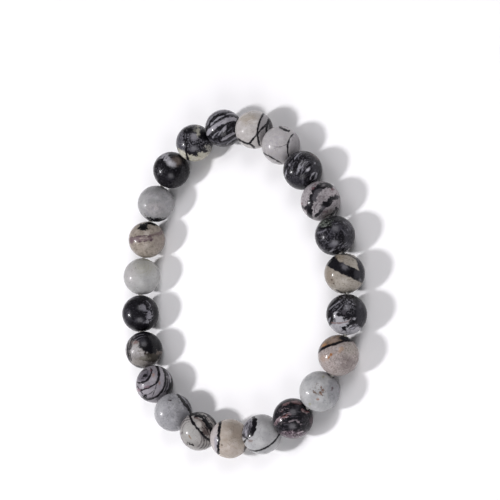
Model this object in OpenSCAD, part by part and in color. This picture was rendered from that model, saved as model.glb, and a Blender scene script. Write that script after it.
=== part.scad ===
// Stretch bracelet: one string of round polished stone beads on a clear elastic cord,
// lying flat on a table in a relaxed, slightly three-cornered oval.
// Millimetres. Z is up, the beads stand on Z = 0, and the oval is longest along Y.

/* [Beads] */
// Diameter of one bead
bead_d = 8; // [6:0.5:10]
// Diameter of the hole drilled through a bead
hole_d = 1; // [0.9:0.05:1.4]
// Width of the bevel at each mouth of a hole
bevel_w = 0.15; // [0.05:0.05:0.3]
// Gap between neighbouring beads
bead_gap = 0.15; // [0.12:0.01:0.4]

/* [Loop] */
// Extra turn, in degrees, that draws the loop out into an oval along Y
oval_turn = 10.5; // [0:0.5:14]
// Extra turn, in degrees, that gives the loop its three soft corners
corner_turn = 6.5; // [0:0.5:8]
// How far the first bead lies past the +Y end of the loop, in beads
first_bead_at = -0.65; // [-1:0.05:1]

/* [Elastic] */
// Diameter of the stretch cord
cord_d = 0.8; // [0.4:0.05:0.8]

/* [Hidden] */
// The stone of each bead, clockwise as seen from above
stones = [
    "black", "banded", "tan", "grey", "black", "banded", "black", "tan",
    "black", "rose", "grey", "banded", "grey", "tan", "banded", "grey",
    "rose", "banded", "black", "grey", "tan", "grey", "black"
];
// Colour of each kind of stone
stone_colours = [
    ["black", "#3b3935"],
    ["banded", "#8d857c"],
    ["tan", "#bda687"],
    ["grey", "#a3a299"],
    ["rose", "#a58f86"]
];
bead_count = len(stones);
pitch = bead_d + bead_gap;
cord_sides = 8;
smooth = 96;

function bead_name(k) = str("bead_", k < 9 ? "0" : "", k + 1);

// Place round the loop of bead k, in degrees from the +Y end
function around(k) = (k + first_bead_at) * 360 / bead_count;

// Direction of the hole of bead k, in degrees from +X
function heading(k) =
    -(around(k) + oval_turn * sin(2 * around(k)) + corner_turn * sin(3 * around(k)));

// Direction of the step from bead k to the next one
function step_heading(k) = (heading(k) + heading(k + 1)) / 2;

function total(list, k = 0) = k < len(list) ? list[k] + total(list, k + 1) : [0, 0];

// Steps of equal length nearly close the loop, and each takes its share of what is missing
even_steps = [for (k = [0 : bead_count - 1]) pitch * [cos(step_heading(k)), sin(step_heading(k))]];
closing_share = total(even_steps) / bead_count;
walk = [for (k = 0, at = [0, 0]; k < bead_count; at = at + even_steps[k] - closing_share, k = k + 1) at];

function middle(values) = (min(values) + max(values)) / 2;
loop_middle = [middle([for (p = walk) p[0]]), middle([for (p = walk) p[1]])];
centres = [for (p = walk) [p[0] - loop_middle[0], p[1] - loop_middle[1], bead_d / 2]];

// Bead with a bevelled hole along Z
module drilled_bead() {
    mouth_z = sqrt(pow(bead_d / 2, 2) - pow(hole_d / 2, 2));
    difference() {
        sphere(d = bead_d, $fn = smooth);
        cylinder(d = hole_d, h = 2 * bead_d, center = true, $fn = smooth);
        for (end = [0, 1])
            mirror([0, 0, end])
                translate([0, 0, mouth_z - bevel_w])
                    cylinder(d1 = hole_d, d2 = hole_d + 4 * bevel_w, h = 2 * bevel_w, $fn = smooth);
    }
}

function stone_colour(stone) = stone_colours[search([stone], stone_colours)[0]][1];

module bead(k) {
    color(stone_colour(stones[k]))
        translate(centres[k])
            rotate([0, 90, heading(k)])
                drilled_bead();
}

// Where the cord turns between bead k and the next one: the point that both holes aim at
function half_turn(k) = (heading(k) - heading(k + 1)) / 2;
function outward(k) = [-sin(step_heading(k)), cos(step_heading(k)), 0];
function corner(k) =
    (centres[k] + centres[(k + 1) % bead_count]) / 2 + outward(k) * pitch / 2 * tan(half_turn(k));

// Ring of the cord on the mitre at a corner
function ring(k) = [
    for (side = [0 : cord_sides - 1])
        let (a = side * 360 / cord_sides)
            corner(k)
            + outward(k) * cord_d / 2 * cos(a) / cos(half_turn(k))
            + [0, 0, cord_d / 2 * sin(a)]
];

module elastic_cord() {
    points = [for (k = [0 : bead_count - 1]) each ring(k)];
    faces = [
        for (k = [0 : bead_count - 1], side = [0 : cord_sides - 1])
            let (
                here = k * cord_sides,
                there = ((k + 1) % bead_count) * cord_sides,
                beside = (side + 1) % cord_sides
            )
                [here + side, there + side, there + beside, here + beside]
    ];
    color("#dedbd2")
        polyhedron(points = points, faces = faces, convexity = 4);
}

for (k = [0 : bead_count - 1])
    bead(k);
elastic_cord();
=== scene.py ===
import math

import bmesh
import bpy
from mathutils import Matrix, Vector


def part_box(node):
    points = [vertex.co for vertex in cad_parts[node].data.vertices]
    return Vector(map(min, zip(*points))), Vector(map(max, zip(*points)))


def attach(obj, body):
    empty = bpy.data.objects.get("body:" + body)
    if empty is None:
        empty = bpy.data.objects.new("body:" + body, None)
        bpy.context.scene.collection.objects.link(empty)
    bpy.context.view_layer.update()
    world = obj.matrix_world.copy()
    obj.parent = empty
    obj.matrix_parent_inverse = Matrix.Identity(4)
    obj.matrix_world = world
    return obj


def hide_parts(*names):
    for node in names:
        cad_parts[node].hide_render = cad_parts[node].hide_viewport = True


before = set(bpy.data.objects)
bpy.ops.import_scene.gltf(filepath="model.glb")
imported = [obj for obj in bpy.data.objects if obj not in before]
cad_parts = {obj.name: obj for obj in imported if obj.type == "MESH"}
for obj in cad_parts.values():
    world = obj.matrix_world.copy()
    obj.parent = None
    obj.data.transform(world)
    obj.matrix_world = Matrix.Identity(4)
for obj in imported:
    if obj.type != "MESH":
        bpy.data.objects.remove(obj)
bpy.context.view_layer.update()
print("frame loaded:", len(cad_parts), "nodes")

scene = bpy.context.scene
xAxis, zAxis = Vector((1, 0, 0)), Vector((0, 0, 1))


def newObject(name, data):
    thing = bpy.data.objects.new(name, data)
    scene.collection.objects.link(thing)
    return thing


def newMesh(name, bm):
    mesh = bpy.data.meshes.new(name)
    bm.to_mesh(mesh)
    bm.free()
    return mesh


# the camera looks over the +X side of the loop, rolled so that +Y is nearly up in the picture
viewSettings = {
    "azimuth": 62.05,       # degrees, 0 looks along +Y and 90 along -X
    "elevation": 52.56,
    "roll": -75.6,
    "distance": 0.2877,     # metres from the aim
    "aim": (0.00491, 0.00494, 0.004),
    "lens": 100.0,          # millimetres
    "sensor": 36.0,
    "clip": (0.01, 20.0),   # metres
}


def makeCamera(settings):
    azimuth, elevation, roll = (math.radians(settings[key]) for key in ("azimuth", "elevation", "roll"))
    flat = math.cos(elevation)
    back = Vector((math.sin(azimuth) * flat, -math.cos(azimuth) * flat, math.sin(elevation)))
    level = zAxis.cross(back).normalized()
    right = level * math.cos(roll) + back.cross(level) * math.sin(roll)
    turn = Matrix((right, back.cross(right), back)).transposed()
    camera = newObject("camera", bpy.data.cameras.new("camera"))
    place = Matrix.Translation(Vector(settings["aim"]) + back * settings["distance"])
    camera.matrix_world = place @ turn.to_4x4()
    camera.data.lens, camera.data.sensor_width = settings["lens"], settings["sensor"]
    camera.data.clip_start, camera.data.clip_end = settings["clip"]
    scene.camera = camera
    return camera


camera = makeCamera(viewSettings)
bpy.context.view_layer.update()
eye = camera.matrix_world.translation.copy()
pictureRight = (camera.matrix_world.to_3x3() @ xAxis).normalized()
print("camera ready")


# a turn whose Z runs along towards, and whose X is as nearly the picture's right as that allows
def facing(towards):
    side = (pictureRight - towards * pictureRight.dot(towards)).normalized()
    return Matrix((side, towards.cross(side), towards)).transposed()


def linear(code):
    values = [int(code[i : i + 2], 16) / 255 for i in (1, 3, 5)]
    return tuple(v / 12.92 if v <= 0.04045 else ((v + 0.055) / 1.055) ** 2.4 for v in values) + (1.0,)


# small helpers for node trees: a value that is a socket is linked, any other is set
def put(tree, kind, values=None, **options):
    node = tree.nodes.new(kind)
    for name, option in options.items():
        setattr(node, name, option)
    for name, value in (values or {}).items():
        if isinstance(value, bpy.types.NodeSocket):
            tree.links.new(value, node.inputs[name])
        else:
            node.inputs[name].default_value = value
    return node


def maths(tree, operation, first, second=0.0, third=0.0):
    return put(tree, "ShaderNodeMath", {0: first, 1: second, 2: third}, operation=operation).outputs[0]


def restOf(tree, share):
    return maths(tree, "SUBTRACT", 1.0, share)


def vectors(tree, operation, first, second=(0, 0, 0), output=0):
    return put(tree, "ShaderNodeVectorMath", {0: first, 1: second}, operation=operation).outputs[output]


def scaled(tree, vector, amount):
    return put(tree, "ShaderNodeVectorMath", {0: vector, "Scale": amount}, operation="SCALE").outputs[0]


def lengthOf(tree, vector):
    return vectors(tree, "LENGTH", vector, output="Value")


def turned(tree, vector, angle):
    values = {"Vector": vector, "Angle": angle}
    return put(tree, "ShaderNodeVectorRotate", values, rotation_type="Z_AXIS").outputs[0]


def smoothStep(tree, value, low, high):
    values = {"Value": value, "From Min": low, "From Max": high}
    return put(tree, "ShaderNodeMapRange", values, interpolation_type="SMOOTHSTEP").outputs["Result"]


def softStep(tree, value, middle, soft):
    low, high = maths(tree, "SUBTRACT", middle, soft), maths(tree, "ADD", middle, soft)
    return smoothStep(tree, value, low, high)


def noise(tree, vector, scale, detail=3.0, roughness=0.55, output="Fac"):
    values = {"Vector": vector, "Scale": scale, "Detail": detail, "Roughness": roughness}
    return put(tree, "ShaderNodeTexNoise", values).outputs[output]


def mixColour(tree, share, below, above):
    return put(tree, "ShaderNodeMix", {0: share, 6: below, 7: above}, data_type="RGBA").outputs[2]


# a node group that is given vectors and numbers, each by its title
def newGroup(name, arrows, numbers):
    group = bpy.data.node_groups.new(name, "ShaderNodeTree")
    for titles, kind in ((arrows, "NodeSocketVector"), (numbers, "NodeSocketFloat")):
        for title in titles.split():
            group.interface.new_socket(title, in_out="INPUT", socket_type=kind)
    return group, group.nodes.new("NodeGroupInput").outputs


def closeGroup(group, **results):
    for title, socket in results.items():
        kind = "NodeSocketVector" if socket.type == "VECTOR" else "NodeSocketFloat"
        group.interface.new_socket(title, in_out="OUTPUT", socket_type=kind)
    put(group, "NodeGroupOutput", results)
    return group


# the stone's noises, each with its scale in waves to a bead's radius, its detail and its roughness
stoneNoise = {
    "bend": (1.7, 2.0, 0.5),
    "rough": (5.0, 5.0, 0.62),
    "streaks": (1.0, 4.0, 0.55),
    "grit": (11.0, 5.0, 0.75),
    "specks": (21.0, 2.0, 0.6),
    "cracks": (2.4, 5.0, 0.6),
    "crackedAreas": (1.3, 2.0, 0.55),
    "ground": (2.2, 5.0, 0.6),
    "polish": (4.0, 3.0, 0.55),
    "pits": (34.0, 3.0, 0.6),
}

# what all the stones share; each pair is where something in a noise begins and where it is full
stoneBody = {
    "seed": (3.7, 1.9, -2.3),       # the step from one bead's noises to the next one's
    "twist": (1.1, 0.37, 5),        # radians at the back: the least, the step, and the number of steps
    "bend": 0.05,
    "backBend": 0.5,                # more bend at the back
    "ground": (0.35, 0.65),
    "gritContrast": 5.0,
    "specks": (0.60, 0.70),
    "speckDepth": 0.30,
    "cracks": (0.009, 0.002),
    "crackedAreas": (0.50, 0.58),
    "crackDepth": 0.45,
}


# Turns a point of the unit ball into the place on its drawing. The front, towards +Z, is drawn as the picture
# shows it, and the back turns and bends away from it, so that it is never the front's mirror image.
def makeStoneSpace():
    group, given = newGroup("stoneSpace", "Point Seed", "Twist")
    depth = put(group, "ShaderNodeSeparateXYZ", {0: given["Point"]}).outputs[2]
    behind = maths(group, "MAXIMUM", maths(group, "MULTIPLY", depth, -1.0), 0.0)
    moved = vectors(group, "ADD", given["Point"], given["Seed"])
    bend = vectors(group, "SUBTRACT", noise(group, moved, *stoneNoise["bend"], "Color"), (0.5, 0.5, 0.5))
    bend = scaled(group, bend, maths(group, "MULTIPLY_ADD", behind, stoneBody["backBend"], stoneBody["bend"]))
    twisted = turned(group, given["Point"], maths(group, "MULTIPLY", behind, given["Twist"]))
    flat = vectors(group, "MULTIPLY", vectors(group, "ADD", twisted, bend), (1, 1, 0))
    rough = maths(group, "MULTIPLY_ADD", noise(group, moved, *stoneNoise["rough"]), 2.0, -1.0)
    return closeGroup(group, Flat=flat, Rough=rough)


# A line of the stone along an arc: it keeps to its own side of the chord, and each end has its taper
def makeLineMask():
    group, given = newGroup(
        "lineMask", "Flat Centre Start Along Side",
        "Rough Radius Half Margin MarginTaper Length TaperIn TaperOut Ragged Soft")
    reach = lengthOf(group, vectors(group, "SUBTRACT", given["Flat"], given["Centre"]))
    off = maths(group, "ABSOLUTE", maths(group, "SUBTRACT", reach, given["Radius"]))
    away = vectors(group, "SUBTRACT", given["Flat"], given["Start"])
    passed = vectors(group, "DOT_PRODUCT", away, given["Along"], "Value")
    left = maths(group, "SUBTRACT", given["Length"], passed)
    beside = maths(group, "ADD", vectors(group, "DOT_PRODUCT", away, given["Side"], "Value"), given["Margin"])
    half = given["Half"]
    for room, taper in ((passed, "TaperIn"), (left, "TaperOut"), (beside, "MarginTaper")):
        half = maths(group, "MINIMUM", half, maths(group, "MULTIPLY", room, given[taper]))
    inside = maths(group, "SUBTRACT", half, off)
    inside = maths(group, "MULTIPLY_ADD", given["Rough"], given["Ragged"], inside)
    return closeGroup(group, Mask=softStep(group, inside, 0.0, given["Soft"]))


# A ragged oval patch of the stone
def makePatchMask():
    group, given = newGroup("patchMask", "Flat Centre Stretch", "Rough Turn Size Ragged Soft")
    away = turned(group, vectors(group, "SUBTRACT", given["Flat"], given["Centre"]), given["Turn"])
    reach = lengthOf(group, vectors(group, "MULTIPLY", away, given["Stretch"]))
    inside = maths(group, "MULTIPLY", restOf(group, reach), given["Size"])
    inside = maths(group, "MULTIPLY_ADD", given["Rough"], given["Ragged"], inside)
    return closeGroup(group, Mask=softStep(group, inside, 0.0, given["Soft"]))


# Many lines round one centre, as layers of the stone are cut by the ball
def makeRingMask():
    group, given = newGroup("ringMask", "Flat Centre", "Rough Spacing Share Wobble Soft")
    reach = lengthOf(group, vectors(group, "SUBTRACT", given["Flat"], given["Centre"]))
    turns = maths(group, "DIVIDE", reach, given["Spacing"])
    turns = maths(group, "MULTIPLY_ADD", given["Rough"], given["Wobble"], turns)
    edge = maths(group, "MULTIPLY", given["Share"], 0.5)
    low, high = maths(group, "ADD", edge, given["Soft"]), maths(group, "SUBTRACT", edge, given["Soft"])
    return closeGroup(group, Mask=smoothStep(group, maths(group, "PINGPONG", turns, 0.5), low, high))


# Streaks, specks and clouds: the high parts of a noise, drawn out along one direction
def makeGrainMask():
    group, given = newGroup("grainMask", "Point Seed Scale", "Turn Above Soft")
    drawn = vectors(group, "MULTIPLY", turned(group, given["Point"], given["Turn"]), given["Scale"])
    height = noise(group, vectors(group, "ADD", drawn, given["Seed"]), *stoneNoise["streaks"])
    return closeGroup(group, Mask=softStep(group, height, given["Above"], given["Soft"]))


# The stone's own fine grain as a factor of its colour: grit, small dark specks, and a few hair cracks
def makeGritFactor():
    group, given = newGroup("gritFactor", "Point Seed", "Grit")
    moved = vectors(group, "ADD", given["Point"], given["Seed"])
    grit, specks, cracks, crackedAreas = (
        noise(group, moved, *stoneNoise[name]) for name in ("grit", "specks", "cracks", "crackedAreas"))
    contrast = stoneBody["gritContrast"]
    grit = maths(group, "MULTIPLY_ADD", grit, contrast, -contrast / 2)
    factor = maths(group, "MULTIPLY_ADD", grit, given["Grit"], 1.0)
    specks = smoothStep(group, specks, *stoneBody["specks"])
    ridge = maths(group, "ABSOLUTE", maths(group, "SUBTRACT", cracks, 0.5))
    cracks = smoothStep(group, ridge, *stoneBody["cracks"])
    cracks = maths(group, "MULTIPLY", cracks, smoothStep(group, crackedAreas, *stoneBody["crackedAreas"]))
    for mask, depth in ((specks, "speckDepth"), (cracks, "crackDepth")):
        rest = restOf(group, maths(group, "MULTIPLY", mask, stoneBody[depth]))
        factor = maths(group, "MULTIPLY", factor, rest)
    return closeGroup(group, Factor=maths(group, "MAXIMUM", factor, 0.0))


groups = {
    "space": makeStoneSpace(),
    "line": makeLineMask(),
    "patch": makePatchMask(),
    "rings": makeRingMask(),
    "grain": makeGrainMask(),
    "grit": makeGritFactor(),
}
print("node groups ready")


# a group takes from the place only what it has a socket for
def useGroup(tree, kind, place, values):
    titles = [item.name for item in groups[kind].interface.items_tree if item.in_out == "INPUT"]
    fitting = {title: value for title, value in place.items() if title in titles}
    return put(tree, "ShaderNodeGroup", {**fitting, **values}, node_tree=groups[kind]).outputs


def arcThrough(start, by, end):
    first, second = by - start, end - start
    cross = 2 * (first.x * second.y - first.y * second.x)
    if abs(cross) < lineSettings["straight"]:
        side = Vector((-second.y, second.x)).normalized()
        return by + side * lineSettings["largest"], lineSettings["largest"]
    squares = [first.length_squared, second.length_squared]
    centre = start + Vector((
        second.y * squares[0] - first.y * squares[1],
        first.x * squares[1] - second.x * squares[0],
    )) / cross
    return centre, (centre - start).length


def hundredths(values):
    return tuple(value / 100 for value in values)


lineSettings = {
    "straight": 0.01,       # an arc that is flatter than this is a part of a very large circle
    "largest": 40.0,        # that circle's radius
    "overlap": 0.03,        # of two arcs of one line
    "margin": 0.08,         # a line's room beyond its chord
    "marginTaper": 4.0,
    "noTaper": 40.0,        # where one arc of a line meets the next
}


# A mark has one colour and one or more parts, and each part uses a node group once. Its lengths are given in
# hundredths of the bead's radius. A line is a row of arcs through three points each, end to end.
def line(half, ragged, tint, *through, soft=2.5, taper=0.6, **rest):
    points, half, parts = [Vector(hundredths(point)) for point in through], half / 100, []
    for index in range(0, len(points) - 2, 2):
        start, by, end = points[index : index + 3]
        first, last = index == 0, index == len(points) - 3
        centre, radius = arcThrough(start, by, end)
        along = (end - start).normalized()
        side = Vector((-along.y, along.x))
        if side.dot(by - start) < 0:
            side = -side
        before = 0.0 if first else lineSettings["overlap"]
        after = 0.0 if last else lineSettings["overlap"]
        parts.append({
            "Centre": (*centre, 0), "Radius": radius, "Half": half,
            "Start": (*(start - along * before), 0), "Along": (*along, 0), "Side": (*side, 0),
            "Margin": half + lineSettings["margin"], "MarginTaper": lineSettings["marginTaper"],
            "Length": (end - start).length + before + after,
            "TaperIn": taper if first else lineSettings["noTaper"],
            "TaperOut": taper if last else lineSettings["noTaper"],
            "Ragged": ragged / 100, "Soft": soft / 100,
        })
    return {"kind": "line", "colour": tint, "parts": parts, **rest}


def pairOf(size):
    return size if isinstance(size, tuple) else (size, size)


def patch(at, size, ragged, soft, tint, turn=0, **rest):
    wide, high = hundredths(pairOf(size))
    part = {
        "Centre": (*hundredths(at), 0), "Turn": -math.radians(turn), "Stretch": (1 / wide, 1 / high, 0),
        "Size": min(wide, high), "Ragged": ragged / 100, "Soft": soft / 100,
    }
    return {"kind": "patch", "colour": tint, "parts": [part], **rest}


# the only place where a mark is seen, for its option within
def area(at, size, ragged=12, soft=3.5, **rest):
    return patch(at, size, ragged, soft, None, **rest)


def rings(at, spacing, share, wobble, soft, tint, **rest):
    part = {
        "Centre": (*hundredths(at), 0), "Spacing": spacing / 100, "Share": share / 100,
        "Wobble": wobble / 100, "Soft": soft / 100,
    }
    return {"kind": "rings", "colour": tint, "parts": [part], **rest}


# scale is in waves to a bead's radius, one number or along and across, and above is a height of the noise
def grain(scale, above, soft, tint, turn=0, **rest):
    along, across = pairOf(scale)
    part = {
        "Turn": -math.radians(turn), "Scale": (along, across, across), "Above": above / 100,
        "Soft": soft / 100,
    }
    return {"kind": "grain", "colour": tint, "parts": [part], **rest}


def markMask(tree, place, mark):
    mask = None
    for part in mark["parts"]:
        piece = useGroup(tree, mark["kind"], place, part)["Mask"]
        mask = maths(tree, "MAXIMUM", mask, piece) if mask else piece
    if mark.get("outside"):
        mask = restOf(tree, mask)
    if "within" in mark:
        mask = maths(tree, "MULTIPLY", mask, markMask(tree, place, mark["within"]))
    return maths(tree, "MULTIPLY", mask, mark["strength"]) if "strength" in mark else mask


def stone(slot, dark, light, grit, *marks):
    return {"slot": slot, "ground": (dark, light), "grit": grit / 100, "marks": marks}


# What each stone shows from the front, in hundredths of its radius: x to the right and y up in the picture.
# A stone's marks are laid over its ground in the order in which they are listed. Some marks are painted
# light, each noted where it stands: reflections, sheen, light and shade, and one shadow.
black, nearBlack = "#111014", "#19181c"
stoneLooks = {}
stoneLooks[1] = stone(
    "black_jasper", "#111014", "#1f1e22", 14,
    # painted sheen: a grey glow round the key's highlight
    patch((-76, 5), (26, 52), 24, 10, "#48474d"),
    grain(3, 57, 8, "#3b3a3f", strength=0.8),
    grain(10, 57.5, 5, "#605f65", strength=0.6),
    grain(15, 56, 3, "#7b7a80", strength=0.6),
    line(7.5, 24, black, (-42, 86), (-50, 40), (-45, -24), taper=1),
    patch((55, 45), (36, 30), 30, 8, black),
    patch((-24, 70), (20, 14), 20, 3.5, black),
    # painted reflection of the upper soft box
    patch((0, 34), 20, 20, 10, "#6f6d73"),
    # painted reflection of the lower soft box
    patch((-5, -34), (20, 18), 20, 10, "#535257"),
    line(2.2, 8, "#57565b", (-51, 24), (-49, 38), (-50, 52), soft=4),
    patch((2, 72), (10, 15), 20, 4, "#66655f"),
    patch((20, 64), (11, 28), 16, 3.5, "#99978b"),
    patch((0, 100), 160, 32, 3.5, "#a9a698", outside=True),
    patch((-70, -64), 24, 10, 6, "#bdbbaf"),
    patch((34, -84), (30, 10), 16, 6, "#b3aea0", strength=0.8),
    grain(5, 56, 6, "#97957f", strength=0.7, within=area((0, -85), (100, 35), 12, 10)),
    patch((76, -27), (22, 18), 28, 3.5, "#8f8d86"),
    grain(9, 53, 3, "#2d2c30", within=area((66, -22), (34, 18), 12, 5)),
    grain(13, 56, 3, "#242327", strength=0.8, within=area((16, -44), (66, 10), 30)),
    patch((-26, -52), (16, 14), 26, 3.5, nearBlack),
    patch((6, -60), (14, 12), 26, 3.5, nearBlack),
    line(3, 14, nearBlack, (-2, -58), (6, -66), (10, -74)),
    line(6.5, 8, black, (-43, -20), (-43, -60), (-29, -100), taper=2),
    line(7, 16, black, (28, -34), (50, -44), (78, -45)),
    # painted reflection: a light rim on the left and top edge, from the floor and neighbouring beads
    line(2.6, 5, "#6f6e74", (-99, 4), (-80, 62), (-10, 96), soft=3),
)
stoneLooks[2] = stone(
    "banded_jasper", "#0c0b0f", "#19181c", 15,
    grain((3.5, 10), 59, 4, "#47464c", turn=35, strength=0.8),
    grain(8, 57, 5, "#3f3e44", within=area((-30, -70), (60, 30), 12, 10)),
    # partly a light band near the top, partly a painted reflection of the floor and neighbours along the left
    # rim
    line(3.4, 6, "#85848a", (-100, -10), (-80, 58), (-20, 93), (30, 94), (74, 72), taper=2),
    line(4.2, 8, "#747379", (-87, 16), (-68, 54), (-34, 78)),
    line(2.8, 8, "#6e6d73", (-40, 77), (-10, 87), (24, 85)),
    line(4.6, 9, "#8a898f", (-76, 10), (-44, 42), (8, 67), taper=0.25),
    line(4.2, 7, "#87868c", (14, 75), (44, 78), (76, 66)),
    line(1.4, 4, "#5f5e64", (26, 62), (46, 66), (68, 60)),
    line(11.2, 12, "#918f95", (-93, -38), (-30, 23), (72, 49), taper=0.9),
    grain((3, 12), 60, 4, "#5b5a60", turn=35, strength=0.7, within=area((-20, 24), (90, 14), 12, 5, turn=35)),
    line(1.6, 8, "#2f2e33", (-80, -2), (-40, 29), (6, 47)),
    line(2.2, 14, "#1b1a1e", (14, 24), (36, 32), (58, 34)),
    line(3.6, 9, "#77767c", (-60, -52), (-46, -34), (-26, -16)),
    line(4.4, 10, "#7d7c82", (-30, -40), (-12, -14), (18, 20), taper=0.5),
    patch((2, -6), (7, 14), 10, 3.5, "#929096", turn=-30),
    line(1.4, 6, "#55545a", (20, -20), (50, 4), (92, 16)),
    line(6.2, 10, "#8f8d93", (-14, -66), (16, -46), (62, -24)),
    line(1, 4, "#5f5e64", (-4, -54), (18, -42), (44, -30)),
    line(4, 10, "#77767c", (14, -88), (44, -64), (84, -42)),
    line(2.2, 8, "#55545a", (-40, -90), (-5, -80), (25, -66)),
    line(1.8, 8, "#55545a", (-78, -56), (-50, -72), (-20, -74)),
)
stoneLooks[3] = stone(
    "tan_jasper", "#a9a5a2", "#b3afac", 4.5,
    patch((-35, 60), (50, 28), 20, 20, "#a39a8e", strength=0.8),
    grain((2, 6), 56, 8, "#bdbab8", turn=20, strength=0.6),
    patch((102, 5), (80, 125), 4, 5, "#8f8c8d"),
    patch((42, -36), (16, 34), 10, 10, "#7b7778", strength=0.8),
    patch((92, 15), (20, 56), 16, 8, "#3b393c", strength=0.9),
    line(5.4, 5, black, (57, 95), (21, 15), (30, -86), taper=3),
    line(5.2, 7, black, (86, 50), (30, -6), (-27, -76), taper=3),
    line(5.8, 10, black, (80, 64), (66, 15), (62, -18)),
    line(3, 6, nearBlack, (40, 8), (52, 14), (66, 16)),
    line(5.6, 6, black, (-90, -42), (-50, -68), (-26, -73), (-10, -84), (6, -100)),
)
stoneLooks[4] = stone(
    "grey_jasper", "#a6a3a3", "#b0adad", 4,
    patch((-20, -50), (50, 35), 20, 20, "#939090", strength=0.6),
    grain(5, 57, 8, "#96939a", strength=0.5),
    patch((85, -10), (40, 80), 10, 8, "#8d8a8c", strength=0.8),
    line(6.5, 10, black, (-10, 100), (14, 82), (46, 72), taper=2),
    line(4, 6, nearBlack, (66, 62), (36, 8), (46, -70)),
    line(3.4, 6, "#232225", (-95, -34), (-50, -62), (10, -94)),
    line(1.2, 3, "#5d5a5c", (40, 14), (5, -5), (-45, -2)),
)
stoneLooks[5] = stone(
    "black_jasper", "#0b0a0e", "#131216", 16,
    patch((80, 0), (36, 70), 20, 15, "#252429"),
    patch((-40, -66), (50, 34), 20, 15, "#26252a"),
    grain((2.4, 14), 61.5, 4, "#45444a", turn=64, strength=0.8),
    grain(9, 60, 5, "#3d3c42", strength=0.7),
    grain((4, 17), 56.5, 3, "#57565c", turn=60, strength=0.8, within=area((-25, 30), 72, 12, 20)),
    grain(12, 56, 3, "#4b4a50", strength=0.7, within=area((-65, -30), 40, 12, 20)),
    # painted reflection of a neighbouring reddish stone along the upper right rim
    line(3.6, 8, "#4f4142", (34, 86), (62, 72), (84, 50), soft=5),
    line(2.4, 5, "#84838a", (-44, 54), (-30, 74), (-6, 94)),
    line(1.4, 5, "#5f5e64", (-26, 62), (-16, 74), (-2, 84)),
    line(1.6, 5, "#5f5e64", (-88, 20), (-82, 52), (-62, 76)),
    line(4.8, 8, "#88878d", (-30, -20), (-23, 8), (-8, 42), taper=0.3),
    line(2, 5, "#a3a2a8", (-20, -6), (-17, 8), (-11, 22)),
    line(4.8, 11, "#7a797f", (-2, 10), (8, 30), (30, 46), taper=0.4),
    line(2, 6, "#605f65", (-10, -20), (-4, -6), (6, 6)),
    line(4, 8, "#6b6a70", (12, -10), (24, 4), (40, 24), taper=0.4),
    grain((3, 12), 55, 3, "#85848a", turn=58, strength=0.85, within=area((4, 30), (30, 17), 12, 8, turn=48)),
    grain((4, 15), 56, 3, "#121115", turn=60, strength=0.8, within=area((4, 16), (42, 40), 20)),
    patch((27, 5), (6, 9.5), 10, 3.5, "#b1b0b5", turn=-35),
    line(3.6, 8, "#8b8a90", (36, -48), (46, -24), (68, -6), taper=0.5),
    line(4, 9, "#8b8a90", (70, -6), (66, -30), (50, -50), taper=0.5),
    patch((61, 37), (5, 5.5), 6, 3.5, "#7c7b81"),
    patch((-68, 27), (4, 5.5), 6, 3.5, "#7f7e84"),
    # painted reflection: a light rim on the left edge
    line(3.6, 12, "#8b8a90", (-90, -36), (-86, -16), (-80, 2)),
    line(3, 6, "#08070a", (-93, -26), (-96, 4), (-90, 28)),
    # painted reflection of the lower soft box: a soft grey spot below the middle
    line(4.6, 10, "#49484e", (-2, -72), (0, -56), (-2, -34), soft=5),
    line(2.2, 8, "#6b6a70", (-50, -82), (-36, -90), (-20, -96)),
)
stoneLooks[6] = stone(
    "banded_jasper", "#777274", "#8b8688", 9,
    patch((-80, 26), (38, 80), 10, 12, "#9b9698"),
    patch((52, 46), (42, 24), 20, 12, "#9d9799", turn=-12),
    patch((-28, -56), (18, 20), 20, 10, "#9b9698", turn=30),
    patch((36, -66), (30, 20), 20, 12, "#7b7472", turn=40),
    grain(9, 57, 5, "#574f52", strength=0.6),
    grain((3, 9), 57, 6, "#9f9a9c", turn=52, strength=0.6),
    line(15, 22, "#131216", (62, 74), (0, 72), (-36, 32), (-52, -20), (-50, -98), taper=1.8),
    line(11, 22, "#454347", (6, 66), (-16, 44), (-32, 2), (-36, -30), soft=6),
    patch((16, 78), (8, 4.5), 16, 5, "#656164", turn=10),
    line(12, 20, "#19181c", (98, 22), (62, 14), (26, -10), taper=0.7),
    patch((80, 20), (10, 5), 26, 5, "#3f3d42"),
    patch((26, -16), (23, 17), 20, 3.5, black, turn=24),
    line(2.4, 10, "#4f4a4d", (6, -16), (-6, -18), (-16, -16)),
    patch((12, -38), (15, 10), 24, 6, "#3d3a40"),
    line(8, 20, "#2b292d", (10, -36), (-6, -58), (-36, -84), taper=0.8),
    line(6, 16, "#131216", (-12, -62), (-24, -74), (-36, -84)),
    line(1.8, 10, "#514d52", (-10, -6), (-28, -34), (-30, -60)),
    line(1.6, 10, "#5b5658", (22, -34), (8, -60), (-10, -86)),
    line(11, 26, "#141317", (86, -24), (78, -48), (46, -80), taper=1),
    line(5, 14, "#1b1a1e", (-86, -16), (-92, -48), (-70, -84)),
    patch((-76, -34), (12, 9), 26, 3.5, "#232226", turn=30),
    line(5.6, 8, "#a39ea0", (-74, -52), (-72, -70), (-60, -84)),
    line(2.4, 6, "#a39ea0", (-66, -82), (-56, -92), (-44, -98)),
    patch((-34, -92), (4, 6), 10, 3.5, "#8b8688"),
    patch((-40, 66), (7, 6), 12, 5, "#5f464b"),
    patch((-28, 80), 4, 10, 3.5, "#664f54"),
    patch((-94, -12), 5, 10, 3.5, "#6f565a"),
    patch((60, 58), (8, 6), 12, 5, "#5f484d"),
    patch((22, -52), (6, 5), 12, 5, "#594a4d"),
)
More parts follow.
